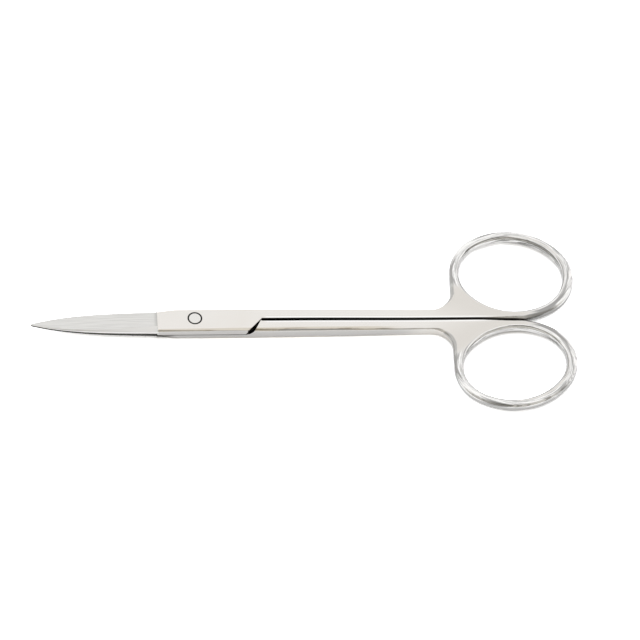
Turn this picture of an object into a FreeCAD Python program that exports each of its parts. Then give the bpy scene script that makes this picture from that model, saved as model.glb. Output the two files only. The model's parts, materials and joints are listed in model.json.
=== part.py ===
import FreeCAD, Part
import math
import os
import re
import Sketcher
from FreeCAD import Placement, Rotation, Vector

# Fine-point first aid scissors of polished stainless steel, closed and lying flat.
# Two equal forgings cross in a lap joint and turn on one slotted screw.
# Each forging is blade, joint, shank and finger ring in one piece. Millimetres, degrees.
# A half is drawn with the pivot near x = 0, its ring towards +x and +y, its blade towards -x,
# the lap plane on z = 0 and its outer face upwards.

doc = FreeCAD.newDocument("first_aid_scissors")
sheet = doc.addObject("Spreadsheet::Sheet", "Sizes")

SIZES = [
    ("blade_reach", 34.6, "pivot to the points"),
    ("blade_root", 8.0, "pivot to the step where the blade grinding ends"),
    ("blade_root_width", 5.2, "width of the blade at the step"),
    ("blade_root_thickness", 1.32, "thickness of one blade at the step"),
    ("tip_width", 0.40, "width of one blade at its point"),
    ("tip_thickness", 0.26, "thickness of one blade at its point"),
    ("tip_corner", 0.08, "the back's corner is ground away by this at the point"),
    ("swell_power", 3.4, "how fast the blade widens behind its point"),
    ("swell_share", 0.86, "share of the widening that is curved, the rest is even"),
    ("edge_bevel_angle", 20.0, "lean of the cutting bevel from upright"),
    ("runout_angle", 8.5, "angle in plan at which the bevel grinding leaves the joint"),
    ("facet_width", 1.15, "width of the back facet at the step"),
    ("facet_drop", 0.52, "fall of the back facet at the step"),
    ("hollow_depth", 0.08, "depth of the hollow ground inner face"),
    ("hollow_margin", 0.70, "flat left beside the hollow at the step"),
    ("joint_width", 5.74, "width across the joint"),
    ("joint_thickness", 3.0, "thickness of both halves at the joint"),
    ("lap_gap", 0.03, "running gap between the two lap faces"),
    ("crotch_reach", 14.5, "pivot to the crotch between joint and shank"),
    ("straight_length", 1.5, "length of shank past the crotch before it narrows and thins"),
    ("level_length", 1.2, "the shank stops getting thinner this far before the ring"),
    ("diagonal_angle", 48.0, "lean of the free edge of the lap from the centre line"),
    ("shoulder_angle", 64.0, "lean of the milled shoulder's top from the centre line"),
    ("hollow_angle", 54.0, "the same where the shoulder is steepest, a third of the way up"),
    ("foot_angle", 42.0, "the same at the shoulder's foot, on the lap face"),
    ("shoulder_clearance", 0.15, "gap between shoulder and lap edge at the crotch"),
    ("relief_angle", 41.0, "lean of the free edge on the lap face, where it is cut back"),
    ("relief_lead", 0.40, "the cutting back starts this far along the free edge"),
    ("lap_corner_radius", 1.0, "plan radius of the free corner of the lap"),
    ("crotch_radius", 0.9, "plan radius in the crotch"),
    ("gap_at_crotch", 0.56, "gap between the shanks at the crotch"),
    ("gap_at_rings", 0.16, "gap between the rings where they stop"),
    ("rim_lead", 3.8, "the gap edge starts to round into the rim this far past the ring's side"),
    ("shank_back_end", 2.58, "centre line to the back of the shank at the ring root"),
    ("root_radius", 4.4, "plan radius between shank and ring"),
    ("ring_reach", 67.3, "pivot to the middle of the ring"),
    ("ring_length", 26.3, "outer length of the ring"),
    ("ring_width", 22.4, "outer width of the ring"),
    ("end_fullness", 0.893, "radius of the ring's ends as a share of half its width"),
    ("ring_lean", 11.9, "lean of the ring towards the centre line"),
    ("rim_end_width", 2.20, "width of the rim at the ends of the oval"),
    ("rim_side_width", 2.15, "width of the rim at the sides of the oval"),
    ("hole_shift", 0.15, "the rim is heavier at its far end by twice this"),
    ("ring_end_thickness", 2.3, "thickness of the ring at its far end"),
    ("joint_round", 0.60, "edge rounding of the joint, outer face"),
    ("lap_edge_round", 0.12, "edge rounding of the free edge of the lap"),
    ("gap_round", 0.20, "edge rounding along the gap"),
    ("back_round", 0.50, "edge rounding of the shank's back"),
    ("rim_round", 0.95, "edge rounding of the ring's rim"),
    ("pivot_offset", 0.40, "the screw sits this far from the middle of the joint"),
    ("journal_diameter", 2.75, "diameter of the screw's shank"),
    ("journal_clearance", 0.03, "radial running clearance of the screw"),
    ("end_chamfer", 0.13, "chamfer on the screw's end and on its hole"),
    ("head_diameter", 4.0, "diameter of the screw's head"),
    ("head_height", 0.62, "height of the screw's head"),
    ("head_clearance", 0.05, "gap around and over the head"),
    ("head_sink", 0.06, "the head lies this far inside the outer face"),
    ("slot_width", 0.60, "width of the screwdriver slot"),
    ("slot_depth", 0.32, "depth of the screwdriver slot"),
]

for row, (alias, value, meaning) in enumerate(SIZES, start=1):
    sheet.set(f"A{row}", meaning)
    sheet.set(f"B{row}", str(value))
    sheet.setAlias(f"B{row}", alias)
doc.recompute()
ALIASES = {alias for alias, _, _ in SIZES}

# Two places closer than this count as the same
TINY = 0.01


def cell(formula):
    """The formula with each alias written as a reference to its cell."""
    return re.sub(r"[a-z_]+", lambda word: "Sizes." + word[0] if word[0] in ALIASES else word[0], formula)


def size(formula):
    """Value of a formula over the cells, in millimetres, or in radians for an angle."""
    result = sheet.evalExpression(formula)
    if not isinstance(result, FreeCAD.Units.Quantity):
        return float(result)
    is_angle = result.Unit == FreeCAD.Units.Angle
    return math.radians(result.Value) if is_angle else result.Value


# Drawing helpers, used by all three pieces
def new_sketch(body, role, name, height=None):
    """Empty sketch on one of the body's origin planes, or parallel to it at a given height."""
    sketch = body.newObject("Sketcher::SketchObject", name)
    plane = [feature for feature in body.Origin.OriginFeatures if feature.Role == role][0]
    sketch.AttachmentSupport = [(plane, "")]
    sketch.MapMode = "FlatFace"
    if height is not None:
        sketch.AttachmentOffset = Placement(Vector(0, 0, size(height)), Rotation())
        sketch.setExpression(".AttachmentOffset.Base.z", cell(height))
    return sketch


def bind(sketch, kind, where, formula, name):
    """Add one dimension to a sketch and tie it to the sheet."""
    index = sketch.addConstraint(Sketcher.Constraint(kind, *where, size(formula)))
    sketch.renameConstraint(index, name)
    sketch.setExpression(f"Constraints.{name}", cell(formula))


def bind_point(sketch, geometry, vertex, across, up, name):
    """Tie a vertex of a sketch to a place measured from the sketch's origin."""
    for kind, formula, letter in (("DistanceX", across, "x"), ("DistanceY", up, "y")):
        if size(formula) == 0:
            axis = -2 if kind == "DistanceX" else -1
            sketch.addConstraint(Sketcher.Constraint("PointOnObject", geometry, vertex, axis))
        else:
            bind(sketch, kind, (-1, 1, geometry, vertex), formula, name + letter)


def line(start, end):
    return Part.LineSegment(Vector(*start, 0), Vector(*end, 0))


def arc(centre, radius, start_angle, end_angle):
    """Arc drawn anticlockwise between two angles in radians."""
    circle = Part.Circle(Vector(*centre, 0), Vector(0, 0, 1), radius)
    return Part.ArcOfCircle(circle, start_angle, end_angle)


def draw_polygon(sketch, corners):
    """Closed polygon whose corners are pairs of formulas."""
    first = sketch.GeometryCount
    count = len(corners)
    points = [(size(across), size(up)) for across, up in corners]
    for index in range(count):
        sketch.addGeometry(line(points[index], points[(index + 1) % count]))
    for index, (across, up) in enumerate(corners):
        following = first + (index + 1) % count
        sketch.addConstraint(Sketcher.Constraint("Coincident", first + index, 2, following, 1))
        bind_point(sketch, first + index, 1, across, up, f"corner{first + index}")


def add_feature(body, kind, name, profile, **formulas):
    """Pad, pocket or revolution of a sketch, with its lengths tied to the sheet."""
    feature = body.newObject("PartDesign::" + kind, name)
    feature.Profile = profile
    feature.Refine = False
    for prop, formula in formulas.items():
        feature.setExpression(prop, cell(formula))
    return feature


# The ring is an oval of four smooth arcs that leans towards the centre line
LEAN_COS = "cos(ring_lean * 1 deg)"
LEAN_SIN = "sin(ring_lean * 1 deg)"
END_RADIUS = "(ring_width / 2 * end_fullness)"
END_OFFSET = f"(ring_length / 2 - {END_RADIUS})"


def side_radius_formula(end_offset, width, end_radius):
    """Radius of an oval's long sides, so that they run smoothly into its ends."""
    return f"(({end_offset} ^ 2 + ({width} / 2) ^ 2 - {end_radius} ^ 2) / ({width} - 2 * {end_radius}))"


SIDE_RADIUS = side_radius_formula(END_OFFSET, "ring_width", END_RADIUS)
SIDE_OFFSET = f"({SIDE_RADIUS} - ring_width / 2)"
RING_Y = f"(gap_at_rings / 2 + {SIDE_RADIUS} - {SIDE_OFFSET} * {LEAN_COS})"
RING_LEFT = f"(ring_reach - {END_OFFSET} * {LEAN_COS} - {END_RADIUS})"
FAR_END = f"(ring_reach + {END_OFFSET} * {LEAN_COS} + {END_RADIUS})"

# Places along the shank
TAPER_START = "(crotch_reach + straight_length)"
TAPER_END = f"({RING_LEFT} - level_length)"
RIM_START = f"({RING_LEFT} + rim_lead)"

# The finger hole follows the ring at the width of the rim
HOLE_WIDTH = "(ring_width - 2 * rim_side_width)"
HOLE_END_RADIUS = f"({END_RADIUS} - rim_end_width)"
HOLE_SIDE_RADIUS = side_radius_formula(END_OFFSET, HOLE_WIDTH, HOLE_END_RADIUS)

# Plan of the lap: a diagonal free edge that runs smoothly into the gap between the shanks
CROTCH_Y = "(gap_at_crotch / 2)"
DIAGONAL_X = "(crotch_reach - crotch_radius * sin(diagonal_angle * 1 deg))"
DIAGONAL_Y = f"({CROTCH_Y} - crotch_radius * (1 - cos(diagonal_angle * 1 deg)))"


def outline_sketch(body):
    """Plan of joint, shank and ring, one smooth closed line drawn anticlockwise in a frame.

    What lies between the line and the frame is trimmed away from the blank.
    """
    sketch = new_sketch(body, "XY_Plane", "outline")
    half_width = size("joint_width / 2")
    nose = -size("blade_root")
    lean = size("ring_lean * 1 deg")
    diagonal = size("diagonal_angle * 1 deg")
    side_radius = size(SIDE_RADIUS)
    side_offset = size(SIDE_OFFSET)
    end_radius = size(END_RADIUS)
    end_offset = size(END_OFFSET)
    ring_x = size("ring_reach")
    ring_y = size(RING_Y)
    right = math.pi / 2

    def on_ring(along, across):
        """Point given on the leaning ring's own axes."""
        return (ring_x + along * math.cos(lean) + across * math.sin(lean),
                ring_y - along * math.sin(lean) + across * math.cos(lean))

    # Gap line: from the crotch it touches the ring's lower side, so its slope follows
    crotch = (size("crotch_reach"), size(CROTCH_Y))
    side_centre = on_ring(0, side_offset)
    reach = (side_centre[0] - crotch[0], side_centre[1] - crotch[1])
    slope = math.atan2(reach[1], reach[0]) - math.asin(side_radius / math.hypot(*reach))
    touch = (side_centre[0] + side_radius * math.sin(slope),
             side_centre[1] - side_radius * math.cos(slope))
    rim_start_x = size(RIM_START)
    rim_start = (rim_start_x, crotch[1] + (rim_start_x - crotch[0]) * math.tan(slope))

    # Crotch radius, then the diagonal free edge down to the rounded corner of the lap
    crotch_radius = size("crotch_radius")
    crotch_centre = (crotch[0] + crotch_radius * math.sin(slope),
                     crotch[1] - crotch_radius * math.cos(slope))
    diagonal_top = (crotch_centre[0] - crotch_radius * math.sin(diagonal),
                    crotch_centre[1] + crotch_radius * math.cos(diagonal))
    corner_radius = size("lap_corner_radius")
    corner_y = corner_radius - half_width
    foot_y = corner_y - corner_radius * math.cos(diagonal)
    foot_x = diagonal_top[0] - (diagonal_top[1] - foot_y) / math.tan(diagonal)
    corner_x = foot_x - corner_radius * math.sin(diagonal)

    # Upright left side of the ring, then the root radius into the shank's back
    left_x = size(RING_LEFT)
    left_centre = on_ring(-end_offset, 0)
    root_radius = size("root_radius")
    root_x = left_x - root_radius
    back_start = (size(TAPER_START), half_width)
    fall = math.atan2(half_width - size("shank_back_end"), root_x - back_start[0])
    root_y = size("shank_back_end") + root_radius * math.cos(fall)
    root_foot = (root_x - root_radius * math.sin(fall), root_y - root_radius * math.cos(fall))

    turn = math.atan2(end_offset, side_offset)
    for piece in (
            line((nose, -half_width), (corner_x, -half_width)),
            arc((corner_x, corner_y), corner_radius, -right, diagonal - right),
            line((foot_x, foot_y), diagonal_top),
            arc(crotch_centre, crotch_radius, right + slope, right + diagonal),
            line(crotch, rim_start),
            line(rim_start, touch),
            arc(side_centre, side_radius, slope - right, turn - right - lean),
            arc(on_ring(end_offset, 0), end_radius, turn - right - lean, right - turn - lean),
            arc(on_ring(0, -side_offset), side_radius, right - turn - lean, right + turn - lean),
            arc(left_centre, end_radius, right + turn - lean, math.pi),
            line((left_x, left_centre[1]), (left_x, root_y)),
            arc((root_x, root_y), root_radius, -right - fall, 0),
            line(root_foot, back_start),
            line(back_start, (nose, half_width)),
            line((nose, half_width), (nose, -half_width))):
        sketch.addGeometry(piece)

    # Pieces that meet smoothly: (piece, its end, next piece, its end); inner radii run backwards
    for joint in ((0, 2, 1, 1), (1, 2, 2, 1), (2, 2, 3, 2), (3, 1, 4, 1), (4, 2, 5, 1), (5, 2, 6, 1),
                  (6, 2, 7, 1), (7, 2, 8, 1), (8, 2, 9, 1), (9, 2, 10, 1), (10, 2, 11, 2),
                  (11, 1, 12, 1)):
        sketch.addConstraint(Sketcher.Constraint("Tangent", *joint))
    for joint in ((12, 2, 13, 1), (13, 2, 14, 1), (14, 2, 0, 1)):
        sketch.addConstraint(Sketcher.Constraint("Coincident", *joint))
    for level in (0, 13):
        sketch.addConstraint(Sketcher.Constraint("Horizontal", level))
    for upright in (10, 14):
        sketch.addConstraint(Sketcher.Constraint("Vertical", upright))

    bind_point(sketch, 0, 1, "-blade_root", "-joint_width / 2", "nose")
    bind(sketch, "Radius", (1,), "lap_corner_radius", "lap_corner")
    bind(sketch, "Angle", (2,), "diagonal_angle * 1 deg", "diagonal")
    bind(sketch, "Radius", (3,), "crotch_radius", "crotch")
    bind_point(sketch, 4, 1, "crotch_reach", CROTCH_Y, "gap_start")
    bind(sketch, "DistanceX", (-1, 1, 5, 1), RIM_START, "rim_start")
    for index, radius in ((6, SIDE_RADIUS), (7, END_RADIUS), (8, SIDE_RADIUS), (9, END_RADIUS),
                          (11, "root_radius")):
        bind(sketch, "Radius", (index,), radius, f"radius{index}")
    bind(sketch, "DistanceX", (-1, 1, 6, 3), f"ring_reach + {SIDE_OFFSET} * {LEAN_SIN}", "side_x")
    for index, sign in ((7, "+"), (9, "-")):
        opposite = "-" if sign == "+" else "+"
        bind_point(sketch, index, 3, f"ring_reach {sign} {END_OFFSET} * {LEAN_COS}",
                   f"{RING_Y} {opposite} {END_OFFSET} * {LEAN_SIN}", f"end{index}")
    bind(sketch, "DistanceY", (-1, 1, 11, 3), "shank_back_end + root_radius"
         " * cos(atan((joint_width / 2 - shank_back_end)"
         f" / ({RING_LEFT} - root_radius - {TAPER_START})))", "root_y")
    bind_point(sketch, 13, 1, TAPER_START, "joint_width / 2", "back_start")

    beyond = FAR_END + " * 2"
    draw_polygon(sketch, [("-blade_reach", "-ring_width * 2"), (beyond, "-ring_width * 2"),
                          (beyond, "ring_width * 2"), ("-blade_reach", "ring_width * 2")])
    return sketch


# The shank thins in two equal arcs, one falling away and one levelling out
TAPER_RUN = f"(({TAPER_END} - {TAPER_START}) / 2)"
TAPER_FALL = "((joint_thickness - ring_end_thickness) / 4)"
TAPER_RADIUS = f"(({TAPER_RUN} ^ 2 + {TAPER_FALL} ^ 2) / (2 * {TAPER_FALL}))"
TAPER_SEAMS = (TAPER_START, f"({TAPER_START} + {TAPER_END}) / 2", TAPER_END)


def side_sketch(body):
    """Side view of the blank: level at the joint, thinning along the shank, level at the ring."""
    sketch = new_sketch(body, "XZ_Plane", "side_view")
    top = size("joint_thickness / 2")
    ring_top = size("ring_end_thickness / 2")
    nose = -size("blade_root")
    start = size(TAPER_START)
    finish = size(TAPER_END)
    end = size(f"{FAR_END} + rim_round")
    radius = size(TAPER_RADIUS)
    turn = math.asin(size(TAPER_RUN) / radius)
    right = math.pi / 2
    sketch.addGeometry(line((nose, top), (nose, -top)))
    sketch.addGeometry(line((nose, -top), (start, -top)))
    sketch.addGeometry(arc((start, radius - top), radius, -right, turn - right))
    sketch.addGeometry(arc((finish, -radius - ring_top), radius, right, right + turn))
    sketch.addGeometry(line((finish, -ring_top), (end, -ring_top)))
    sketch.addGeometry(line((end, -ring_top), (end, ring_top)))
    sketch.addGeometry(line((end, ring_top), (finish, ring_top)))
    sketch.addGeometry(arc((finish, radius + ring_top), radius, -right - turn, -right))
    sketch.addGeometry(arc((start, top - radius), radius, right - turn, right))
    sketch.addGeometry(line((start, top), (nose, top)))
    for joint in ((1, 2, 2, 1), (2, 2, 3, 2), (3, 1, 4, 1), (6, 2, 7, 2), (7, 1, 8, 1), (8, 2, 9, 1)):
        sketch.addConstraint(Sketcher.Constraint("Tangent", *joint))
    for joint in ((0, 2, 1, 1), (4, 2, 5, 1), (5, 2, 6, 1), (9, 2, 0, 1)):
        sketch.addConstraint(Sketcher.Constraint("Coincident", *joint))
    bind_point(sketch, 0, 1, "-blade_root", "joint_thickness / 2", "nose_top")
    bind_point(sketch, 1, 1, "-blade_root", "-joint_thickness / 2", "nose_foot")
    bind_point(sketch, 2, 1, TAPER_START, "-joint_thickness / 2", "taper_foot")
    bind_point(sketch, 9, 1, TAPER_START, "joint_thickness / 2", "taper_top")
    bind_point(sketch, 4, 1, TAPER_END, "-ring_end_thickness / 2", "ring_foot")
    bind_point(sketch, 6, 2, TAPER_END, "ring_end_thickness / 2", "ring_top")
    bind(sketch, "DistanceX", (-1, 1, 5, 1), f"{FAR_END} + rim_round", "end")
    sketch.addConstraint(Sketcher.Constraint("Vertical", 5))
    return sketch


def hole_sketch(body):
    """Finger hole: four smooth arcs on the leaning ring's own axes."""
    sketch = new_sketch(body, "XY_Plane", "finger_hole_line")
    end_radius = size(HOLE_END_RADIUS)
    side_radius = size(HOLE_SIDE_RADIUS)
    along = size(END_OFFSET)
    across = size(f"{HOLE_SIDE_RADIUS} - {HOLE_WIDTH} / 2")
    turn = math.atan2(along, across)
    right = math.pi / 2
    sketch.addGeometry(arc((along, 0), end_radius, turn - right, right - turn))
    sketch.addGeometry(arc((0, -across), side_radius, right - turn, right + turn))
    sketch.addGeometry(arc((-along, 0), end_radius, right + turn, 3 * right - turn))
    sketch.addGeometry(arc((0, across), side_radius, 3 * right - turn, 3 * right + turn))
    for index in range(4):
        sketch.addConstraint(Sketcher.Constraint("Tangent", index, 2, (index + 1) % 4, 1))
    for index, sign in ((0, ""), (2, "-")):
        bind_point(sketch, index, 3, sign + END_OFFSET, "0", f"end{index}")
        bind(sketch, "Radius", (index,), HOLE_END_RADIUS, f"radius{index}")
    for index in (1, 3):
        bind(sketch, "Radius", (index,), HOLE_SIDE_RADIUS, f"radius{index}")
    middle = Vector(size("ring_reach - hole_shift"), size(RING_Y), 0)
    turned = Rotation(Vector(0, 0, 1), -math.degrees(size("ring_lean * 1 deg")))
    sketch.AttachmentOffset = Placement(middle, turned)
    sketch.setExpression(".AttachmentOffset.Base.x", cell("ring_reach - hole_shift"))
    sketch.setExpression(".AttachmentOffset.Base.y", cell(RING_Y))
    sketch.setExpression(".AttachmentOffset.Rotation.Angle", cell("-ring_lean * 1 deg"))
    return sketch


def add_forging(body):
    """Blank of joint, shank and ring: drawn out to its side view, trimmed, ring punched."""
    blank = add_feature(body, "Pad", "blank", side_sketch(body), Length="ring_width * 3")
    blank.SideType = "Symmetric"
    trim = add_feature(body, "Pocket", "trim", outline_sketch(body), Length="joint_thickness * 2")
    trim.SideType = "Symmetric"
    hole = add_feature(body, "Pocket", "finger_hole", hole_sketch(body), Length="joint_thickness * 2")
    hole.SideType = "Symmetric"


def add_loft(body, kind, name, sections):
    """Loft through a row of sections."""
    loft = body.newObject("PartDesign::" + kind, name)
    loft.Profile = sections[0]
    loft.Sections = sections[1:]
    loft.Refine = False


def leaning_line(start_x, start_y, angle, y):
    """Where a line through a point, at an angle from the centre line, is at height y."""
    return f"{start_x} + ({y} - {start_y}) / tan({angle} * 1 deg)"


def lap_section(body, name, height, angle):
    """Field milled away at one height, from beyond the blade to the shoulder's line."""
    start_x = f"({DIAGONAL_X} + shoulder_clearance / sin(shoulder_angle * 1 deg))"
    start_y = f"(-{DIAGONAL_Y})"
    near = leaning_line(start_x, f"{DIAGONAL_Y}", angle, "joint_width")
    far = leaning_line(start_x, start_y, f"(180 - {angle})", "joint_width")
    sketch = new_sketch(body, "XY_Plane", name, height)
    draw_polygon(sketch, [("-blade_reach", "-joint_width"), (near, "-joint_width"),
                          (far, "joint_width"), ("-blade_reach", "joint_width")])
    return sketch


def add_lap(body):
    """Half of the joint milled away below the lap plane, up to the slanting shoulder.

    The shoulder is hollow from its foot on the lap face to its top, and wider at its outer end.
    """
    add_loft(body, "SubtractiveLoft", "lap_milling", [
        lap_section(body, "lap_foot", "lap_gap / 2", "foot_angle"),
        lap_section(body, "lap_hollow", "-joint_thickness / 6", "hollow_angle"),
        lap_section(body, "lap_top", "-joint_thickness / 2 - lap_gap", "shoulder_angle")])


def add_relief(body):
    """Free edge of the lap cut back towards the lap face, to clear the other half's shoulder."""
    lead_x = f"({DIAGONAL_X} - relief_lead * cos(diagonal_angle * 1 deg))"
    lead_y = f"({DIAGONAL_Y} - relief_lead * sin(diagonal_angle * 1 deg))"
    sections = []
    for name, height, x, y, angle in (
            ("relief_foot", "-lap_gap", lead_x, lead_y, "relief_angle"),
            ("relief_top", "joint_thickness / 2", f"({DIAGONAL_X} + shoulder_clearance)", DIAGONAL_Y,
             "diagonal_angle")):
        sketch = new_sketch(body, "XY_Plane", name, height)
        beyond = f"{DIAGONAL_X} + joint_width"
        draw_polygon(sketch, [(leaning_line(x, y, angle, "(-joint_width)"), "-joint_width"),
                              (beyond, "-joint_width"), (beyond, DIAGONAL_Y),
                              (leaning_line(x, y, angle, DIAGONAL_Y), DIAGONAL_Y)])
        sections.append(sketch)
    add_loft(body, "SubtractiveLoft", "free_edge_relief", sections)


# Sections of the blade, closer together near its point
BLADE_SECTIONS = 8
SECTION_CROWDING = 1.6


def blade_width(share):
    """Width at a share of the blade's length: quick behind the point, then almost level."""
    curved = f"swell_share * (1 - (1 - {share:.5f}) ^ swell_power)"
    return f"(tip_width + (blade_root_width - tip_width) * ({curved} + (1 - swell_share) * {share:.5f}))"


def blade_sketch(body, name, share):
    """Empty sketch across the blade at a share of its length from the point."""
    return new_sketch(body, "YZ_Plane", name, f"-blade_reach + (blade_reach - blade_root) * {share:.5f}")


def blade_section(body, index):
    """Section of the blade: flat inside, leaning bevel, flat outer face, back facet."""
    share = (index / (BLADE_SECTIONS - 1)) ** SECTION_CROWDING
    half_width = blade_width(share) + " / 2"
    inner = "lap_gap / 2"
    outer = f"{inner} + tip_thickness + (blade_root_thickness - tip_thickness) * {share:.5f}"
    bevel = f"({outer} - {inner}) * tan(edge_bevel_angle * 1 deg)"
    facet = f"{share ** 2:.5f}"
    sketch = blade_sketch(body, f"blade_section_{index}", share)
    draw_polygon(sketch, [
        (f"-{half_width}", inner),
        (half_width, inner),
        (f"{half_width} - {bevel}", outer),
        (f"-{half_width} + tip_corner + facet_width * {facet}", outer),
        (f"-{half_width}", f"{outer} - tip_corner - facet_drop * {facet}")])
    return sketch


def hollow_section(body, share):
    """Segment of a circle over the lap plane, whose height is the depth of the hollow."""
    sketch = blade_sketch(body, f"hollow_{round(share * 100)}", share)
    width = f"({blade_width(share)} / 2 - hollow_margin * {share:.5f})"
    height = "(hollow_depth + lap_gap / 2)"
    radius_formula = f"(({width} ^ 2 + {height} ^ 2) / (2 * {height}))"
    radius = size(radius_formula)
    reach = size(width)
    turn = math.asin(reach / radius)
    sketch.addGeometry(arc((0, size(height) - radius), radius, math.pi / 2 - turn, math.pi / 2 + turn))
    sketch.addGeometry(line((-reach, 0), (reach, 0)))
    sketch.addConstraint(Sketcher.Constraint("Coincident", 0, 2, 1, 1))
    sketch.addConstraint(Sketcher.Constraint("Coincident", 1, 2, 0, 1))
    bind(sketch, "Radius", (0,), radius_formula, "radius")
    bind_point(sketch, 1, 1, f"-{width}", "0", "near")
    bind_point(sketch, 1, 2, width, "0", "far")
    return sketch


def add_blade(body):
    """Ground blade, drawn from its point to the step at the joint, then hollow ground inside."""
    add_loft(body, "AdditiveLoft", "blade", [blade_section(body, n) for n in range(BLADE_SECTIONS)])
    doc.recompute()
    add_loft(body, "SubtractiveLoft", "hollow", [hollow_section(body, share) for share in (0.15, 1.0)])


def stepped_profile(body, name, offset, corners):
    """Closed outline of radius and height on the screw's axis, to be turned around it."""
    sketch = new_sketch(body, "XZ_Plane", name, offset)
    draw_polygon(sketch, corners)
    return sketch


def add_turned(body, kind, name, sketch):
    """Turn a profile around the screw's axis."""
    feature = body.newObject("PartDesign::" + kind, name)
    feature.Profile = sketch
    feature.ReferenceAxis = (sketch, ["V_Axis"])
    feature.Refine = False


JOURNAL_RADIUS = "(journal_diameter / 2)"
HEAD_FOOT = "(-joint_thickness / 2 + head_sink)"
HEAD_TOP = f"({HEAD_FOOT} + head_height)"


def add_screw_hole(body, side, end_profile):
    """Hole for the screw, a little to one side of the middle of the joint."""
    hole_radius = f"({JOURNAL_RADIUS} + journal_clearance)"
    corners = [("0", "-joint_thickness / 2"), (hole_radius, "-joint_thickness / 2")]
    corners += end_profile(hole_radius)
    add_turned(body, "Groove", "screw_hole", stepped_profile(body, "hole_profile", side, corners))


def chamfered_end(hole_radius):
    """The hole widens at the outer face around the screw's end."""
    return [(hole_radius, "joint_thickness / 2 - end_chamfer"),
            (f"{hole_radius} + end_chamfer * 2", "joint_thickness / 2 + end_chamfer"),
            ("0", "joint_thickness / 2 + end_chamfer")]


def recessed_end(hole_radius):
    """Round recess in the outer face for the screw's head."""
    floor = f"-{HEAD_TOP} - head_clearance"
    recess_radius = "head_diameter / 2 + head_clearance"
    return [(hole_radius, floor), (recess_radius, floor), (recess_radius, "joint_thickness"),
            ("0", "joint_thickness")]


# No rounding takes more than this share of the rim it runs along
WALL_SHARE = 0.46


def rounding(point):
    """Edge rounding wanted at a place on the outline, so that it changes smoothly along it."""
    before_shank = point.x < size("crotch_reach") - TINY
    if before_shank and point.y < size(CROTCH_Y) + TINY:
        on_side = abs(point.y + size("joint_width / 2")) < TINY
        return size("joint_round") if on_side else size("lap_edge_round")
    if point.x < size(RIM_START) + TINY and point.y < size("gap_at_crotch"):
        return size("gap_round")
    if point.x < size(TAPER_START) + TINY:
        return size("joint_round")
    if point.x < size(RING_LEFT) - TINY and point.y < size("root_radius"):
        return size("back_round")
    return min(size("rim_round"), WALL_SHARE * size("rim_side_width"))


def outer_height(x):
    """Height of the outer faces over the lap plane, as in the side view."""
    top = size("joint_thickness / 2")
    ring_top = size("ring_end_thickness / 2")
    radius = size(TAPER_RADIUS)
    past_start = x - size(TAPER_START)
    to_finish = size(TAPER_END) - x
    if past_start <= 0:
        return top
    if to_finish <= 0:
        return ring_top
    if past_start < to_finish:
        return top - radius + math.sqrt(radius ** 2 - past_start ** 2)
    return ring_top + radius - math.sqrt(radius ** 2 - to_finish ** 2)


def edges_to_round(shape):
    """Edges around both outer faces of the blank, each with its rounding at both ends."""
    edges = []
    for number, edge in enumerate(shape.Edges, start=1):
        middle = edge.valueAt((edge.FirstParameter + edge.LastParameter) / 2)
        ends = [vertex.Point for vertex in edge.Vertexes]
        places = ends + [middle]
        on_outer_face = all(abs(abs(place.z) - outer_height(place.x)) < TINY for place in places)
        is_nose = abs(middle.x + size("blade_root")) < TINY
        runs_across = any(all(abs(place.x - size(seam)) < TINY for place in places)
                          for seam in TAPER_SEAMS)
        if on_outer_face and not is_nose and not runs_across:
            edges.append((number, rounding(ends[0]), rounding(ends[1])))
    return edges


def add_runout(body):
    """Cutting bevel where it runs out of the joint: a plane cut that starts at the step.

    The plane passes through the cutting edge at the step, and so does the block's end.
    """
    block = body.newObject("PartDesign::SubtractiveBox", "bevel_runout")
    down = "joint_thickness"
    lean = "edge_bevel_angle * 1 deg"
    turn = "runout_angle * 1 deg"
    along = Rotation(Vector(0, 0, 1), math.degrees(size(turn)))
    leaning = Rotation(Vector(1, 0, 0), math.degrees(size(lean)))
    block.Placement = Placement(Vector(0, 0, 0), along * leaning)
    for prop, formula in (
            ("Length", "joint_width * 2"),
            ("Width", "joint_width"),
            ("Height", f"{down} * 2"),
            ("Placement.Base.x", f"-blade_root - {down} * sin({lean}) * sin({turn})"),
            ("Placement.Base.y", f"blade_root_width / 2 + {down} * sin({lean}) * cos({turn})"),
            ("Placement.Base.z", f"lap_gap / 2 - {down} * cos({lean})")):
        block.setExpression(prop, cell(formula))


# The whole is centred on its length, and rests on z = 0
SHIFT = f"((blade_reach - {FAR_END}) / 2)"


def place(feature, rotation, across="0"):
    """Move a finished piece from its drawing frame into the assembled scissors."""
    feature.Placement = Placement(Vector(0, 0, 0), rotation)
    feature.setExpression("Placement.Base.x", cell(SHIFT))
    feature.setExpression("Placement.Base.y", cell(across))
    feature.setExpression("Placement.Base.z", cell("joint_thickness / 2"))


def half(name, side, end_profile, rotation):
    """One half of the scissors: forged and rounded, then milled, ground and drilled."""
    forging = doc.addObject("PartDesign::Body", name + "_forging")
    add_forging(forging)
    doc.recompute()
    rounded = doc.addObject("Part::Fillet", name + "_rounded")
    rounded.Base = forging
    rounded.Edges = edges_to_round(forging.Shape)
    doc.recompute()
    body = doc.addObject("PartDesign::Body", name)
    body.BaseFeature = rounded
    add_lap(body)
    add_relief(body)
    add_blade(body)
    add_runout(body)
    add_screw_hole(body, side, end_profile)
    place(body, rotation)
    return body


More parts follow.
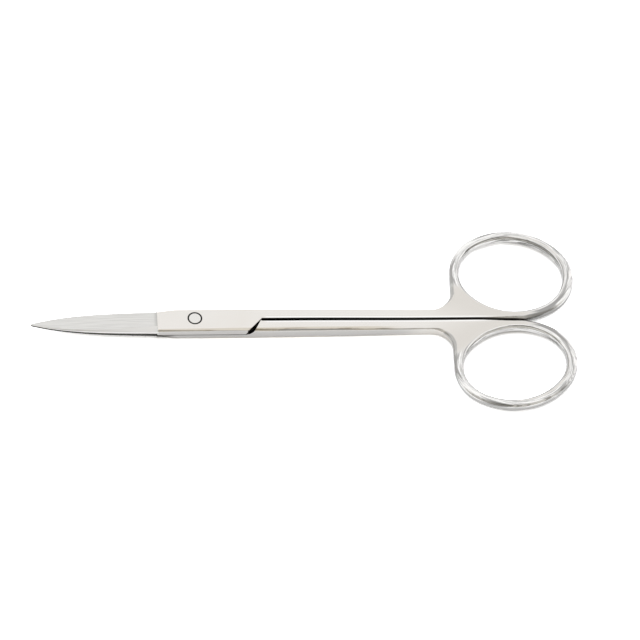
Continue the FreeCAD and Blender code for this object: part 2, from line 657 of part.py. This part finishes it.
def screw():
    """Slotted screw: head below, plain shank, end finished flush with the top half."""
    body = doc.addObject("PartDesign::Body", "pivot_screw")
    top = "joint_thickness / 2"
    head_radius = "head_diameter / 2"
    profile = stepped_profile(body, "screw_profile", "0", [
        ("0", HEAD_FOOT), (f"{head_radius} - end_chamfer", HEAD_FOOT),
        (head_radius, f"{HEAD_FOOT} + end_chamfer"), (head_radius, HEAD_TOP),
        (JOURNAL_RADIUS, HEAD_TOP), (JOURNAL_RADIUS, f"{top} - end_chamfer"),
        (f"{JOURNAL_RADIUS} - end_chamfer", top), ("0", top)])
    add_turned(body, "Revolution", "turned_screw", profile)
    slot = new_sketch(body, "XY_Plane", "slot_line", HEAD_FOOT)
    draw_polygon(slot, [("-head_diameter", "-slot_width / 2"), ("head_diameter", "-slot_width / 2"),
                        ("head_diameter", "slot_width / 2"), ("-head_diameter", "slot_width / 2")])
    slot_cut = add_feature(body, "Pocket", "slot", slot, Length="slot_depth")
    slot_cut.Reversed = True
    place(body, Rotation(), "pivot_offset")
    return body


UPRIGHT = Rotation()
TURNED_OVER = Rotation(Vector(1, 0, 0), 180)
pieces = {
    "top_half": half("top_half", "-pivot_offset", chamfered_end, UPRIGHT),
    "bottom_half": half("bottom_half", "pivot_offset", recessed_end, TURNED_OVER),
    "pivot_screw": screw(),
}
doc.recompute()

for item in doc.Objects:
    if "Invalid" in item.State or "Error" in item.State:
        raise RuntimeError(f"{item.Name} did not compute")
    if item.isDerivedFrom("Part::Feature") and (item.Shape.isNull() or not item.Shape.isValid()):
        raise RuntimeError(f"{item.Name} has no valid shape")

for name, piece in pieces.items():
    if len(piece.Shape.Solids) != 1:
        raise RuntimeError(f"{name} is not one solid")

os.makedirs("parts", exist_ok=True)
for name, piece in pieces.items():
    piece.Label = name
    piece.Shape.exportStep(f"parts/{name}.step")
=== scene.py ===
import bpy
import json
import math
from mathutils import Matrix, Vector

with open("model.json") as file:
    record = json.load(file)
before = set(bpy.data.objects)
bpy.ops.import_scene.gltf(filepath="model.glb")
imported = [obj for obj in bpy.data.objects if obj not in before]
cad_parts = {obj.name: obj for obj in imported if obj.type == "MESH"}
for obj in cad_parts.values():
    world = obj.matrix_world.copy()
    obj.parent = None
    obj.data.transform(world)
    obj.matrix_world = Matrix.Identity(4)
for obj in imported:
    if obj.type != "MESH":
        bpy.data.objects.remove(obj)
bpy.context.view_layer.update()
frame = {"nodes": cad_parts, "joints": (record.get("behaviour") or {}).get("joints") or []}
nodes = frame["nodes"]
MM = 0.001


# Camera
# The scissors lie on a table and are seen from well above, from the side of the lower ring,
# with a long lens and the camera turned a little clockwise.
ELEVATION = math.radians(55.0)
SWING = math.radians(-6.8)
ROLL = math.radians(-5.1)
PICTURE_WIDTH = 134.8 * MM
LOOK_RIGHT, LOOK_UP = 26.41 * MM, 0.81 * MM
CAMERA_AWAY, CAMERA_SEES = 0.9, (0.01, 10)
PIVOT = Vector(frame["joints"][0]["pos_m"])

level_right = Vector((math.cos(SWING), math.sin(SWING), 0))
level_up = Vector((
    -math.sin(SWING) * math.sin(ELEVATION),
    math.cos(SWING) * math.sin(ELEVATION),
    math.cos(ELEVATION),
))
towards_camera = level_right.cross(level_up)
right = math.cos(ROLL) * level_right - math.sin(ROLL) * level_up
up = math.sin(ROLL) * level_right + math.cos(ROLL) * level_up
look_at = Vector((PIVOT.x, 0, PIVOT.z)) + LOOK_RIGHT * right + LOOK_UP * up

camera = bpy.data.objects.new("camera", bpy.data.cameras.new("camera"))
camera.data.type = "ORTHO"
camera.data.ortho_scale = PICTURE_WIDTH
camera.data.clip_start, camera.data.clip_end = CAMERA_SEES
turn = Matrix((right, up, towards_camera)).transposed().to_4x4()
camera.matrix_world = Matrix.Translation(look_at + CAMERA_AWAY * towards_camera) @ turn
bpy.context.scene.collection.objects.link(camera)
bpy.context.scene.camera = camera


# Table
# A smooth white sheet under the scissors. It is matt, so it shows the eye no gloss and no image
# of them, only their soft shadow. To the camera, and less so mirrored in the steel, it is whiter
# than the light on it alone makes it.
TABLE_HALF = 1.2
TABLE_WHITE = "#F2F3F5"
WHITER, MIRRORED_WHITER = 2.7, 1.3


def linear(code, gain=1.0):
    """The linear colour of an sRGB hex code, with an alpha of 1."""
    shares = [int(code[i:i + 2], 16) / 255 for i in (1, 3, 5)]
    flat = [c / 12.92 if c <= 0.04045 else ((c + 0.055) / 1.055) ** 2.4 for c in shares]
    return [gain * c for c in flat] + [1]


def add(tree, kind, inputs=None, **settings):
    """Adds a node to a tree. Settings are the node's own choices. Inputs, by name or number,
    are the values of its sockets, or the sockets of other nodes that feed them."""
    node = tree.nodes.new("ShaderNode" + kind)
    for name, value in settings.items():
        setattr(node, name, value)
    for key, value in (inputs or {}).items():
        if isinstance(value, bpy.types.NodeSocket):
            tree.links.new(value, node.inputs[key])
        else:
            node.inputs[key].default_value = value
    return node


def new_material(name):
    """An empty material of that name, and its node tree."""
    material = bpy.data.materials.new(name)
    material.use_nodes = True
    material.node_tree.nodes.clear()
    return material, material.node_tree


table_material, tree = new_material("matt_white_sheet")
rays = add(tree, "LightPath").outputs
mirrored = add(tree, "Math", {0: rays["Is Glossy Ray"], 1: rays["Is Transmission Ray"]},
               operation="MAXIMUM")
white = add(tree, "Mix", {0: mirrored.outputs[0], 6: linear(TABLE_WHITE),
                          7: linear(TABLE_WHITE, MIRRORED_WHITER)}, data_type="RGBA")
white = add(tree, "Mix", {0: rays["Is Camera Ray"], 6: white.outputs[2],
                          7: linear(TABLE_WHITE, WHITER)}, data_type="RGBA")
sheet = add(tree, "BsdfDiffuse", {"Color": white.outputs[2]})
add(tree, "OutputMaterial", {"Surface": sheet.outputs[0]})

table = bpy.data.objects.new("table", bpy.data.meshes.new("table"))
table.data.from_pydata(
    [(x * TABLE_HALF, y * TABLE_HALF, 0) for x, y in ((-1, -1), (1, -1), (1, 1), (-1, 1))],
    [],
    [(0, 1, 2, 3)],
)
table.data.materials.append(table_material)
bpy.context.scene.collection.objects.link(table)


# Light
# A white room with one soft lamp overhead. Behind the scissors it is white, the side where the
# camera stands is grey, and the steel shows that side as soft darker streaks.
LAMP_SIZE, LAMP_HEIGHT, LAMP_FORWARD, LAMP_POWER = 0.5, 0.8, 0.05, 0.8
ROOM_WHITE = "#FFFFFF"
ROOM_FRONT = "#C9C7C2"
ROOM_DARK = "#6E675E"
FRONT_LEAN = math.radians(18)
FRONT_REACH, DARK_REACH = (78, 102), (3, 14)

room = bpy.data.worlds.new("white_room")
bpy.context.scene.world = room
room.use_nodes = True
tree = room.node_tree
tree.nodes.clear()
direction = add(tree, "TexCoord").outputs["Generated"]


def facing(tree, direction, towards, inner, outer):
    """1 within inner degrees of the direction towards, 0 beyond outer degrees, smooth between."""
    along = add(tree, "VectorMath", {0: direction, 1: towards}, operation="DOT_PRODUCT")
    return add(tree, "MapRange", {
        "Value": along.outputs["Value"],
        "From Min": math.cos(math.radians(outer)),
        "From Max": math.cos(math.radians(inner)),
    }, interpolation_type="SMOOTHSTEP").outputs[0]


towards_front = (0, -math.cos(FRONT_LEAN), -math.sin(FRONT_LEAN))
front = facing(tree, direction, towards_front, *FRONT_REACH)
beside_camera = facing(tree, direction, towards_camera, *DARK_REACH)
seen = add(tree, "LightPath").outputs["Is Camera Ray"]
walls = linear(ROOM_WHITE)
for where, code in ((front, ROOM_FRONT), (beside_camera, ROOM_DARK), (seen, ROOM_WHITE)):
    walls = add(tree, "Mix", {0: where, 6: walls, 7: linear(code)}, data_type="RGBA").outputs[2]
glow = add(tree, "Background", {"Color": walls, "Strength": 1.0})
add(tree, "OutputWorld", {"Surface": glow.outputs[0]})

lamp = bpy.data.objects.new("overhead_lamp", bpy.data.lights.new("overhead_lamp", "AREA"))
lamp.data.shape = "SQUARE"
lamp.data.size = LAMP_SIZE
lamp.data.energy = LAMP_POWER
lamp.location = (0, -LAMP_FORWARD, LAMP_HEIGHT)
lamp.visible_glossy = False
bpy.context.scene.collection.objects.link(lamp)
bpy.context.scene.view_settings.view_transform = "Standard"


# The two halves
# Each is one stainless steel forging, the lower one the same blank turned over. Joint, shank and
# ring are polished on felt wheels, and the blade's outer face keeps its finer grinding. Places
# below are in mm, with x from the pivot towards the rings and y from the centre line.
BLADE_ROOT = -8.0
SHOULDER_NEAR, SHOULDER_FAR = 10.4, 14.3
CROTCH = SHOULDER_FAR
RING_CENTRE, RING_HALF = (67.3, 11.4), (13.1, 11.3)
RIM_HALF = 2.0
SHARP = 0.05
FLAT, ROUNDED = (0.8, 0.9), (0.998, 0.93)
INSIDE, WELL_INSIDE = (0.2, 0.9), (0.3, 0.9)


def from_pivot(tree):
    """Object coordinates in millimetres, with x from the pivot, y from the centre line and z
    from the lap plane."""
    place = add(tree, "TexCoord").outputs["Object"]
    moved = add(tree, "VectorMath", {0: place, 1: (-PIVOT.x, 0, -PIVOT.z)}, operation="ADD")
    return add(tree, "VectorMath", {0: moved.outputs[0], 3: 1 / MM}, operation="SCALE").outputs[0]


def share(tree, *limits):
    """The product of smooth steps, one for each value, that go from 0 at its first limit to 1 at
    its second."""
    total = 1.0
    for value, none, full in limits:
        step = add(tree, "MapRange", {"Value": value, "From Min": none, "From Max": full},
                   interpolation_type="SMOOTHSTEP")
        total = add(tree, "Math", {0: total, 1: step.outputs[0]}, operation="MULTIPLY").outputs[0]
    return total


def drawn_grain(tree, place, lengths, detail):
    """Noise over a place in mm, whose first octave is as long along x, y and z as lengths say."""
    drawn = add(tree, "VectorMath", {0: place, 1: lengths}, operation="DIVIDE")
    noise = {"Vector": drawn.outputs[0], "Scale": 1.0, "Detail": detail}
    return add(tree, "TexNoise", noise).outputs[0]


def worked_grain(tree, point, round_ring, at_ring, length, width, detail):
    """Drawn-out noise that runs along the shank, and round the ring where at_ring is 1. Round
    the ring x and y are a point of the ring's middle line, and z is the depth in its rim."""
    along = drawn_grain(tree, point, (length, width, width), detail)
    around = drawn_grain(tree, round_ring, (length, length, width), detail)
    return add(tree, "Mix", {0: at_ring, 2: along, 3: around}).outputs[0]


# Polishing gives the eye a near mirror, pale and a little warm, broken by fine lines along the
# work. Each mark has limits on its place in mm, on the way its surface faces, and on the noise.
# upright is 1 on the flats and 0 on the side walls. to_front is 1 on a wall that faces the front,
# to_back on one that faces the side of its own blade's back. Noise is about 0.5 on the whole, so
# the lower a mark's limits on it are, the more of the steel the mark covers.
forging_material, tree = new_material("polished_stainless_steel")
point = from_pivot(tree)
x, y, z = add(tree, "SeparateXYZ", {0: point}).outputs
folded = add(tree, "VectorMath", {0: point}, operation="ABSOLUTE").outputs[0]
_, side, off_lap = add(tree, "SeparateXYZ", {0: folded}).outputs
facing_out = add(tree, "TexCoord").outputs["Normal"]
slant = add(tree, "VectorMath", {0: facing_out}, operation="ABSOLUTE")
endways, _, upright = add(tree, "SeparateXYZ", {0: slant.outputs[0]}).outputs
normal_y = add(tree, "SeparateXYZ", {0: facing_out}).outputs[1]
to_front = add(tree, "Math", {0: normal_y, 1: -1.0}, operation="MULTIPLY").outputs[0]
layer = add(tree, "Math", {0: z}, operation="SIGN").outputs[0]
to_back = add(tree, "Math", {0: normal_y, 1: layer}, operation="MULTIPLY").outputs[0]

# A place's direction from the ring's centre, in shares of the ring's half length and width, puts
# the pattern round the ring. Each ring starts at a slanting line across the end of its shank
WEB_LEAN, WEB_END = 0.45, (32.0, 35.5)
RING_FROM, RING_FULL = 27.0, 29.5
from_ring = add(tree, "VectorMath", {0: folded, 1: (*RING_CENTRE, 0)}, operation="SUBTRACT")
from_ring = add(tree, "VectorMath", {0: from_ring.outputs[0], 1: (1, 1, 0)},
                operation="MULTIPLY").outputs[0]
in_ring = add(tree, "VectorMath", {0: from_ring, 1: (*RING_HALF, 1)}, operation="DIVIDE")
in_ring = in_ring.outputs[0]
ring_share = add(tree, "VectorMath", {0: in_ring}, operation="LENGTH").outputs["Value"]
middle = add(tree, "VectorMath", {0: in_ring}, operation="NORMALIZE").outputs[0]
rim_depth = add(tree, "Math", {0: ring_share, 1: RING_HALF[1], 2: z}, operation="MULTIPLY_ADD")
rim_depth = add(tree, "CombineXYZ", {2: rim_depth.outputs[0]}).outputs[0]
round_ring = add(tree, "VectorMath", {0: middle, 1: (RING_HALF[1],) * 3, 2: rim_depth},
                 operation="MULTIPLY_ADD").outputs[0]
half_side = add(tree, "Math", {0: y}, operation="SIGN").outputs[0]
half_side = add(tree, "CombineXYZ", {0: 1.0, 1: half_side}).outputs[0]
from_ring = add(tree, "VectorMath", {0: from_ring, 1: half_side}, operation="MULTIPLY").outputs[0]
outward = add(tree, "VectorMath", {0: facing_out, 1: from_ring}, operation="DOT_PRODUCT")
outward = outward.outputs["Value"]
off_web = add(tree, "Math", {0: x, 1: WEB_LEAN, 2: side}, operation="MULTIPLY_ADD").outputs[0]
at_ring = share(tree, (off_web, RING_FROM, RING_FULL))

# The gap between the shanks narrows towards the rings
GAP_EDGE, GAP_FALL = 0.38, 0.001
gap_edge = add(tree, "Math", {0: x, 1: -GAP_FALL, 2: GAP_EDGE}, operation="MULTIPLY_ADD")
off_gap = add(tree, "Math", {0: side, 1: gap_edge.outputs[0]}, operation="SUBTRACT").outputs[0]

# Real polishing and grinding lines are a few hundredths of a millimetre wide, too fine to show.
# They are drawn 0.12 to 0.47 mm wide, which is half a pixel to two pixels
POLISH_LENGTH, POLISH_WIDTH = 7.0, 0.26
STREAK_LENGTH, STREAK_WIDTH = 1.6 * POLISH_LENGTH, 1.8 * POLISH_WIDTH
SCRATCH_LENGTH, SCRATCH_WIDTH = 2.5, 0.12
GRIND_LENGTH, GRIND_WIDTH = 26.0, 0.24
polish = worked_grain(tree, point, round_ring, at_ring, POLISH_LENGTH, POLISH_WIDTH, 5.0)
streak = worked_grain(tree, point, round_ring, at_ring, STREAK_LENGTH, STREAK_WIDTH, 5.0)
scratch = worked_grain(tree, point, round_ring, at_ring, SCRATCH_LENGTH, SCRATCH_WIDTH, 2.0)
grind = drawn_grain(tree, point, (GRIND_LENGTH, GRIND_WIDTH, GRIND_WIDTH), 4.0)

# The flats are pale, clouded over a few millimetres, and greyer where the shank spreads
STEEL_PALE, STEEL_WARM, WEB_STEEL = "#EDEAE6", "#E8E4DE", "#DEDAD4"
CLOUDS_PER_MM = 0.16
WEB_SPREAD = (22.0, 30.0)
cloud = add(tree, "TexNoise", {"Vector": point, "Scale": CLOUDS_PER_MM, "Detail": 2.0})
colour = add(tree, "Mix", {0: cloud.outputs[0], 6: linear(STEEL_PALE), 7: linear(STEEL_WARM)},
             data_type="RGBA").outputs[2]
web = share(tree, (off_web, *WEB_SPREAD))

# Grinding leaves the blade duller, cooler and lined along its length. It ends in a shallow step
BLADE_STEEL, BLADE_LINES, STEP_PAINTED_SHADE = "#E3E2DF", "#D9D8D5", "#C9C8C5"
STEP_WIDTH = 0.8
on_blade = share(tree, (x, BLADE_ROOT + SHARP, BLADE_ROOT - SHARP))
blade_lines = share(tree, (on_blade, 0.4, 0.6), (grind, 0.40, 0.62))
# Beside the step a narrow grey band is painted shade
painted_step_band = share(tree, (x, BLADE_ROOT + 0.1, BLADE_ROOT),
                  (x, BLADE_ROOT - STEP_WIDTH, BLADE_ROOT - 0.1), (upright, *FLAT))

# The rounded side of joint and shanks that faces the front gets warm and grey streaks, drawn
# along the wheel's lines, over a grey wall: painted reflection and painted shade. They fade out
# before the ring
WALL_SHADE_GREY, TAN_REFLECTION, GREY_SIDE_REFLECTION, BROWN_REFLECTION = "#CECCCA", "#D9D2C5", "#C3C2C0", "#9A8E7B"
BACK_EDGE, BACK_FALL = 3.03, 0.010
EDGE_BAND = (0.95, 0.60)
WALL_END, EDGE_END = (50.0, 42.0), (46.0, 36.0)
narrowing = add(tree, "Math", {0: x, 1: BACK_FALL, 2: side}, operation="MULTIPLY_ADD").outputs[0]
off_blade = (x, BLADE_ROOT, BLADE_ROOT + 0.3)
front_wall_shade = share(tree, (to_front, 0.6, 0.9), off_blade, (x, *WALL_END))
front_edge_reflection = share(tree, (y, 0.0, -0.5),
                   (narrowing, BACK_EDGE - EDGE_BAND[0], BACK_EDGE - EDGE_BAND[1]),
                   (upright, 0.2, 0.6), off_blade, (x, *EDGE_END))
side_grey_reflection = share(tree, (front_edge_reflection, *WELL_INSIDE), (to_front, 0.30, 0.6), (streak, 0.46, 0.56))
brown_reflection = share(tree, (front_edge_reflection, *WELL_INSIDE), (to_front, 0.05, 0.25), (to_front, 0.7, 0.5),
              (polish, 0.50, 0.62))

# The rims are polished round every side. Their streaks of grey and white along the ring, crossed
# by finer ones, are painted reflections and painted highlights laid along the polishing, and
# their sides are greyer with painted shade. The ring's rounded root is grey with painted shade
RIM_STEEL, FINE_GREY_REFLECTION, PAINTED_HIGHLIGHT, RIM_SIDE_SHADE = "#ECEBE9", "#C3C2C0", "#FBFAF8", "#C2C1BF"
GREY_REFLECTION, ROOT_SHADE = "#A6A5A3", "#B9B8B5"
RIM_REACH = (RIM_HALF / RING_HALF[1], 0.6 * RIM_HALF / RING_HALF[1])
ROUND_REACH = (0.32, 0.20)
ROOT_START, ROOT_END, ROOT_OFF_GAP = (22.0, 26.0), (36.0, 32.0), (1.5, 2.5)
off_middle = add(tree, "Math", {0: ring_share, 1: 1.0}, operation="SUBTRACT")
off_middle = add(tree, "Math", {0: off_middle.outputs[0]}, operation="ABSOLUTE").outputs[0]
on_rim = share(tree, (off_web, *WEB_END), (off_middle, *RIM_REACH))
round_rim = share(tree, (upright, *ROUNDED), (off_web, RING_FROM, WEB_END[1]),
                  (off_middle, *ROUND_REACH))
rim = add(tree, "Math", {0: on_rim, 1: round_rim}, operation="MAXIMUM").outputs[0]
fine_grey_reflections = share(tree, (rim, *INSIDE), (scratch, 0.50, 0.62))
rim_highlights = share(tree, (rim, *INSIDE), (polish, 0.50, 0.60))
rim_sides_shaded = share(tree, (rim, *INSIDE), (upright, 0.45, 0.15))
grey_reflections = share(tree, (rim, *INSIDE), (streak, 0.48, 0.60))
shaded_root = share(tree, (upright, 0.9995, 0.96), (upright, 0.1, 0.35), (outward, 0.5, 3.0),
             (off_web, *ROOT_START), (off_web, *ROOT_END), (off_gap, *ROOT_OFF_GAP))

# The finger holes' walls that face the front get a painted highlight with a few small painted
# dark spots, and all round the hole the wall's foot is darker with painted shade
PAINTED_DARK_SPOT, FOOT_SHADE = "#3F3C39", "#75716C"
FOOT_HEIGHT = (-0.25, -0.50)
hole_side = (outward, -1.0, -3.5)
hole_wall_highlight = share(tree, (off_web, RING_FROM, RING_FULL), hole_side, (to_front, 0.15, 0.5))
hole_wall_spots = share(tree, (hole_wall_highlight, *WELL_INSIDE), (scratch, 0.57, 0.63), (streak, 0.44, 0.52))
hole_foot_shade = share(tree, (off_web, RING_FROM, RING_FULL), hole_side, (z, *FOOT_HEIGHT),
                  (streak, 0.36, 0.46))

# The edge beside the gap and the cutting edge get painted highlights, drawn as white lines
BAND_WIDTH, BAND_START, BAND_END = 0.45, (CROTCH, 15.5), (66.0, 58.0)
gap_edge_highlight = share(tree, (off_gap, -0.03, SHARP), (off_gap, BAND_WIDTH, BAND_WIDTH - 0.1),
                   (x, *BAND_START), (x, *BAND_END))
cutting_side_highlight = share(tree, (to_back, -0.1, -0.3), (x, BLADE_ROOT + 0.2, BLADE_ROOT))
edge_highlights = add(tree, "Math", {0: gap_edge_highlight, 1: cutting_side_highlight}, operation="MAXIMUM").outputs[0]

# The gap's walls get grey painted shade and the blade's back darker painted shade, to give the
# dark lines between the shanks and under the blades. So does the seam beside the cutting edge
GAP_WALL_SHADE, BACK_SHADE = "#75716C", "#3F3C39"
GAP_START, GAP_END, BACK_START = (CROTCH - 0.4, CROTCH), (72.0, 67.0), -3.6
in_gap = share(tree, (off_gap, SHARP, -SHARP), (x, *GAP_START), (x, *GAP_END))
blade_back_shade = share(tree, (x, BACK_START, BLADE_ROOT), (to_back, 0.0, 0.12), (upright, 0.97, 0.85))
edge_seam_shade = share(tree, (x, BLADE_ROOT + 0.2, BLADE_ROOT), (to_back, -0.05, -0.2),
                  (off_lap, 0.28, 0.16))

# Black painted shade lies on the milled shoulder, at the gap's lip and in the seam of the lap.
# The same black makes a ring in the groove round the screw
SHADE_AND_GROOVE_BLACK = "#1E1B18"
GROOVE_RADIUS, GROOVE_HALF = 1.40, 0.23
SCREW_END = (1.1, 1.2)


def groove_black(tree, point, half_width):
    """Share of black round the screw's end: 1 where the distance from the screw's axis is the
    groove's radius, 0 from half_width mm off it, and only on the upper side."""
    from_axis = add(tree, "VectorMath", {0: point, 1: (0, PIVOT.y / MM, 0)}, operation="SUBTRACT")
    flat = add(tree, "VectorMath", {0: from_axis.outputs[0], 1: (1, 1, 0)}, operation="MULTIPLY")
    radius = add(tree, "VectorMath", {0: flat.outputs[0]}, operation="LENGTH").outputs["Value"]
    off = add(tree, "Math", {0: radius, 1: GROOVE_RADIUS}, operation="SUBTRACT")
    off = add(tree, "Math", {0: off.outputs[0]}, operation="ABSOLUTE").outputs[0]
    height = add(tree, "SeparateXYZ", {0: point}).outputs[2]
    return share(tree, (off, half_width, 0.4 * half_width), (height, *SCREW_END))


shoulder_shade = share(tree, (x, SHOULDER_NEAR, SHOULDER_NEAR + 0.1),
                      (x, SHOULDER_FAR, SHOULDER_FAR - 0.1), (off_lap, 1.45, 1.35),
                      (upright, 0.995, 0.97), (endways, 0.2, 0.3))
gap_lip_shade = share(tree, (in_gap, 0.0, 1.0), (upright, 0.5, 0.8))
lap_seam_shade = share(tree, (x, SHOULDER_NEAR + 0.4, SHOULDER_NEAR + 0.2), (off_lap, 0.14, 0.04),
                  (upright, 0.9, 0.7))
black_shade_and_groove = groove_black(tree, point, GROOVE_HALF)
for part in (shoulder_shade, gap_lip_shade, lap_seam_shade):
    black_shade_and_groove = add(tree, "Math", {0: black_shade_and_groove, 1: part}, operation="MAXIMUM").outputs[0]

finishes = (
    (web, WEB_STEEL),
    (on_blade, BLADE_STEEL),
    (blade_lines, BLADE_LINES),
    (painted_step_band, STEP_PAINTED_SHADE),
    (front_wall_shade, WALL_SHADE_GREY),
    (front_edge_reflection, TAN_REFLECTION),
    (side_grey_reflection, GREY_SIDE_REFLECTION),
    (brown_reflection, BROWN_REFLECTION),
    (rim, RIM_STEEL),
    (fine_grey_reflections, FINE_GREY_REFLECTION),
    (rim_highlights, PAINTED_HIGHLIGHT),
    (rim_sides_shaded, RIM_SIDE_SHADE),
    (hole_wall_highlight, PAINTED_HIGHLIGHT),
    (grey_reflections, GREY_REFLECTION),
    (shaded_root, ROOT_SHADE),
    (hole_wall_spots, PAINTED_DARK_SPOT),
    (hole_foot_shade, FOOT_SHADE),
    (edge_highlights, PAINTED_HIGHLIGHT),
    (in_gap, GAP_WALL_SHADE),
    (blade_back_shade, BACK_SHADE),
    (edge_seam_shade, BACK_SHADE),
    (black_shade_and_groove, SHADE_AND_GROOVE_BLACK),
)
for where, code in finishes:
    mixed = {0: where, 6: colour, 7: linear(code)}
    colour = add(tree, "Mix", mixed, data_type="RGBA").outputs[2]

# Polished steel is smoother than the ground blade, and the places painted black are matt. Real
# lines are a few thousandths of a millimetre deep. They are drawn deeper to show, most of all on
# the rims
POLISH_ROUGH, GRIND_ROUGH, BLACK_ROUGH = (0.08, 0.20), (0.26, 0.42), 0.6
FLAT_DEPTH, RIM_DEPTH = 0.012 * MM, 0.05 * MM
RELIEF = 0.5
polish_rough = add(tree, "MapRange", {
    "Value": polish, "To Min": POLISH_ROUGH[0], "To Max": POLISH_ROUGH[1]})
grind_rough = add(tree, "MapRange", {
    "Value": grind, "To Min": GRIND_ROUGH[0], "To Max": GRIND_ROUGH[1]})
rough = add(tree, "Mix", {0: on_blade, 2: polish_rough.outputs[0], 3: grind_rough.outputs[0]})
rough = add(tree, "Mix", {0: black_shade_and_groove, 2: rough.outputs[0], 3: BLACK_ROUGH})
lines = add(tree, "Mix", {0: on_blade, 2: polish, 3: grind})
depth = add(tree, "MapRange", {"Value": round_rim, "To Min": FLAT_DEPTH, "To Max": RIM_DEPTH})
relief = add(tree, "Bump", {
    "Height": lines.outputs[0], "Strength": RELIEF, "Distance": depth.outputs[0]})
steel = add(tree, "BsdfPrincipled", {
    "Metallic": 1.0, "Base Color": colour, "Roughness": rough.outputs[0],
    "Normal": relief.outputs[0]})
add(tree, "OutputMaterial", {"Surface": steel.outputs[0]})
for name in ("top_half", "bottom_half"):
    nodes[name].data.materials.clear()
    nodes[name].data.materials.append(forging_material)


# The screw
# A slotted screw turned from stainless bar, driven home and ground flush with the top half. The
# fine wheel leaves the eye a bright, faintly clouded disc. Its real grit is too fine to show, so
# the cloud is drawn a quarter of a millimetre wide.
SCREW_STEEL = "#E8E6E2"
GRAINS_PER_MM = 4.0
SCREW_ROUGH, SCREW_DEPTH, SCREW_RELIEF = (0.15, 0.30), 0.01 * MM, 0.4

screw_material, tree = new_material("turned_stainless_steel")
point = from_pivot(tree)
grain = add(tree, "TexNoise", {"Vector": point, "Scale": GRAINS_PER_MM, "Detail": 3.0})
black = groove_black(tree, point, GROOVE_HALF)
colour = add(tree, "Mix", {0: black, 6: linear(SCREW_STEEL), 7: linear(SHADE_AND_GROOVE_BLACK)}, data_type="RGBA")
rough = add(tree, "MapRange", {
    "Value": grain.outputs[0], "To Min": SCREW_ROUGH[0], "To Max": SCREW_ROUGH[1]})
relief = add(tree, "Bump", {
    "Height": grain.outputs[0], "Strength": SCREW_RELIEF, "Distance": SCREW_DEPTH})
steel = add(tree, "BsdfPrincipled", {
    "Metallic": 1.0, "Base Color": colour.outputs[2], "Roughness": rough.outputs[0],
    "Normal": relief.outputs[0]})
add(tree, "OutputMaterial", {"Surface": steel.outputs[0]})
nodes["pivot_screw"].data.materials.clear()
nodes["pivot_screw"].data.materials.append(screw_material)
